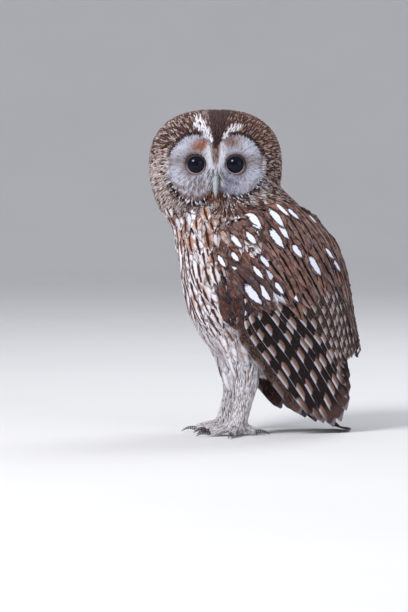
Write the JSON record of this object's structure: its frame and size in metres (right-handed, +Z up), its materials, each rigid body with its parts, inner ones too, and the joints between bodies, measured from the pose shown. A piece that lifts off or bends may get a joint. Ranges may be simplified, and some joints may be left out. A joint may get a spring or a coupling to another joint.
{
  "type": "life-size tawny owl figure",
  "caption": "Tawny owl standing with folded wings, its head turned over its left shoulder, with dark eyes, a hooked bill and feathered legs.",
  "frame": {"origin": "on the floor, under the middle of the bird's box", "axes": "+Z up, the body faces -Y, the bird's left side is +X, the head is turned to its left towards +X"},
  "size_m": [0.1536, 0.2288, 0.3505],
  "materials": {
    "plumage_brown": "matte feather, dark brown with buff bars and white spots",
    "plumage_breast": "matte feather, buff white with dark brown streaks",
    "plumage_face": "matte feather, grey white disc and brown crown",
    "plumage_leg": "matte short feather, buff white",
    "claw": "smooth dark horn",
    "bill": "smooth pale greenish horn",
    "eye": "wet black, with a clear gloss"
  },
  "bodies": {
    "root": {"bill_lower": "bill", "bill_upper": "bill", "claw_hind_left": "claw", "claw_hind_right": "claw", "claw_inner_left": "claw", "claw_inner_right": "claw", "claw_middle_left": "claw", "claw_middle_right": "claw", "claw_outer_left": "claw", "claw_outer_right": "claw", "eye_left": "eye", "eye_right": "eye", "foot_left": "plumage_leg", "foot_right": "plumage_leg", "head": "plumage_face", "neck": "plumage_breast", "primaries_left": "plumage_brown", "primaries_right": "plumage_brown", "shank_left": "plumage_leg", "shank_right": "plumage_leg", "tail": "plumage_brown", "thigh_left": "plumage_leg", "thigh_right": "plumage_leg", "trunk": "plumage_breast", "wing_left": "plumage_brown", "wing_right": "plumage_brown"}
  },
  "joints": []
}
